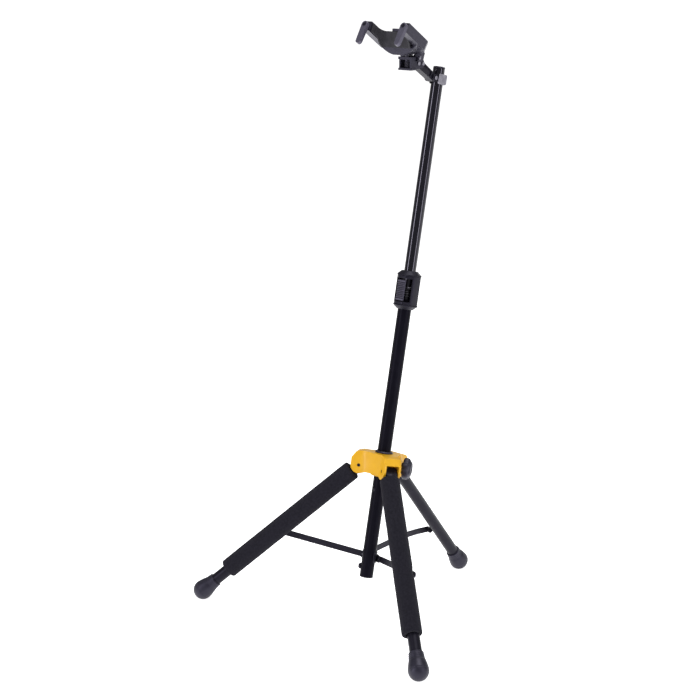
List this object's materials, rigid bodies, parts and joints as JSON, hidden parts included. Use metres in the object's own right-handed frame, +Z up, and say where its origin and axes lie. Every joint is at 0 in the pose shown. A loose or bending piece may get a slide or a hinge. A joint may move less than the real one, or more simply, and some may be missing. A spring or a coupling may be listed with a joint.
{
  "type": "guitar stand",
  "caption": "Folding tripod guitar stand with a leaning telescopic column and a hanging neck cradle with closing gate fingers.",
  "frame": {"origin": "on the ground, midway between the front feet and the rear foot, on the plane of symmetry", "axes": "+Z up, -Y the front where the guitar hangs, +X the stand's side nearest the clamp knob"},
  "size_m": [0.572, 0.4861, 1.0868],
  "materials": {
    "cast_yellow": "gloss yellow paint",
    "tube_satin": "satin black coating",
    "tube_gloss": "gloss black coating",
    "black_steel": "satin black coating",
    "bare_steel": "zinc plated",
    "black_plastic": "fine matt grain",
    "soft_rubber": "matt",
    "foam": "closed-cell foam, matt"
  },
  "bodies": {
    "hub": {"hub_casting": "cast_yellow", "hub_bush": "black_plastic", "leg_pin_right": "black_steel", "leg_pin_left": "black_steel", "leg_pin_rear": "black_steel", "clamp_shoe": "black_plastic"},
    "knob": {"knob_screw": "bare_steel", "knob_grip": "black_plastic"},
    "leg_right": {"leg_fitting_right": "black_steel", "leg_tube_right": "tube_satin", "foam_right": "foam", "leg_boss_right": "black_steel", "foot_right": "soft_rubber"},
    "leg_left": {"leg_fitting_left": "black_steel", "leg_tube_left": "tube_satin", "foam_left": "foam", "leg_boss_left": "black_steel", "foot_left": "soft_rubber"},
    "leg_rear": {"leg_fitting_rear": "black_steel", "leg_tube_rear": "tube_satin", "leg_boss_rear": "black_steel", "foot_rear": "soft_rubber"},
    "column": {"lower_tube": "tube_satin", "column_plug": "black_plastic", "plug_screw": "black_steel", "stop_rivet": "black_steel", "strip_saddle": "black_steel", "saddle_pin_right": "bare_steel", "saddle_pin_left": "bare_steel", "saddle_pin_rear": "bare_steel", "clutch_housing": "black_plastic", "clutch_bottom_cap": "black_plastic", "clutch_top_cap": "black_plastic", "clutch_jam_plate": "bare_steel", "clutch_spring": "bare_steel"},
    "brace_right": {"strip_right": "black_steel", "strip_bolt_right": "bare_steel"},
    "brace_left": {"strip_left": "black_steel", "strip_bolt_left": "bare_steel"},
    "brace_rear": {"strip_rear": "black_steel", "strip_bolt_rear": "bare_steel"},
    "grip": {"clutch_grip": "black_plastic"},
    "upper": {"upper_tube": "tube_gloss", "guide_bush": "black_plastic", "top_cap": "black_plastic", "head_collar": "black_steel", "collar_plate": "bare_steel", "arm_pin": "bare_steel"},
    "arm": {"yoke_arm": "black_steel", "arm_rivet_upper": "bare_steel", "arm_rivet_lower": "bare_steel", "base_bracket": "black_plastic", "yoke_pin": "bare_steel", "yoke_spring": "bare_steel"},
    "yoke": {"yoke_body": "black_plastic", "yoke_pad": "soft_rubber", "finger_pin_left": "black_steel", "finger_pin_right": "black_steel"},
    "finger_left": {"finger_left": "black_plastic"},
    "finger_right": {"finger_right": "black_plastic"}
  },
  "joints": [
    {"name": "column_slide", "type": "slide", "parent": "hub", "child": "column", "axis": [0, -0.2079, -0.9781], "range_m": [0, 0.20839]},
    {"name": "leg_right_fold", "type": "hinge", "parent": "hub", "child": "leg_right", "pos_m": [0.03594, -0.0333, 0.27424], "axis": [0.5, 0.8471, -0.1801], "range_deg": [0, 42.63]},
    {"name": "leg_left_fold", "type": "hinge", "parent": "hub", "child": "leg_left", "pos_m": [-0.03594, -0.0333, 0.27424], "axis": [0.5, -0.8471, 0.1801], "range_deg": [0, 42.63]},
    {"name": "leg_rear_fold", "type": "hinge", "parent": "hub", "child": "leg_rear", "pos_m": [0, 0.02759, 0.2613], "axis": [-1, 0, 0], "range_deg": [0, 50.97]},
    {"name": "strip_right_fold", "type": "hinge", "parent": "column", "child": "brace_right", "pos_m": [0.01212, -0.05541, 0.10412], "axis": [-0.5, -0.8471, 0.1801], "range_deg": [0, 75.39]},
    {"name": "strip_left_fold", "type": "hinge", "parent": "column", "child": "brace_left", "pos_m": [-0.01212, -0.05541, 0.10412], "axis": [-0.5, 0.8471, -0.1801], "range_deg": [0, 75.39]},
    {"name": "strip_rear_fold", "type": "hinge", "parent": "column", "child": "brace_rear", "pos_m": [0, -0.02425, 0.10158], "axis": [1, 0, 0], "range_deg": [0, 75.81]},
    {"name": "knob_turn", "type": "hinge", "parent": "hub", "child": "knob", "pos_m": [0.03464, 0.0077, 0.27115], "axis": [0.866, 0.4891, -0.104], "range_deg": [0, 720]},
    {"name": "clutch_press", "type": "slide", "parent": "column", "child": "grip", "axis": [0, 0.9781, -0.2079], "range_m": [0, 0.0025], "stiffness_N_per_m": 900, "springref_m": -0.003},
    {"name": "height_slide", "type": "slide", "parent": "column", "child": "upper", "axis": [0, 0.2079, 0.9781], "range_m": [-0.192, 0.05]},
    {"name": "arm_fold", "type": "hinge", "parent": "upper", "child": "arm", "pos_m": [0, 0.11943, 0.98195], "axis": [1, 0, 0], "range_deg": [0, 96]},
    {"name": "yoke_drop", "type": "hinge", "parent": "arm", "child": "yoke", "pos_m": [0, 0.06542, 1.02145], "axis": [1, 0, 0], "range_deg": [0, 4.5], "stiffness_Nm_per_rad": 5, "springref_deg": -5.73},
    {"name": "finger_left_close", "type": "hinge", "parent": "yoke", "child": "finger_left", "pos_m": [-0.0445, -0.01457, 1.08145], "axis": [0, -0.848, 0.5299], "range_deg": [0, 90.01]},
    {"name": "finger_right_close", "type": "hinge", "parent": "yoke", "child": "finger_right", "pos_m": [0.0445, -0.01457, 1.08145], "axis": [0, -0.848, 0.5299], "range_deg": [-90.01, 0]}
  ],
  "couplings": [
    {"joint": "leg_right_fold", "follows": "column_slide", "rad_per_m": 3.5695},
    {"joint": "leg_left_fold", "follows": "column_slide", "rad_per_m": 3.5695},
    {"joint": "leg_rear_fold", "follows": "column_slide", "rad_per_m": 4.268},
    {"joint": "strip_right_fold", "follows": "column_slide", "rad_per_m": 6.3137},
    {"joint": "strip_left_fold", "follows": "column_slide", "rad_per_m": 6.3137},
    {"joint": "strip_rear_fold", "follows": "column_slide", "rad_per_m": 6.3486},
    {"joint": "finger_left_close", "follows": "yoke_drop", "ratio": 20},
    {"joint": "finger_right_close", "follows": "yoke_drop", "ratio": -20}
  ]
}
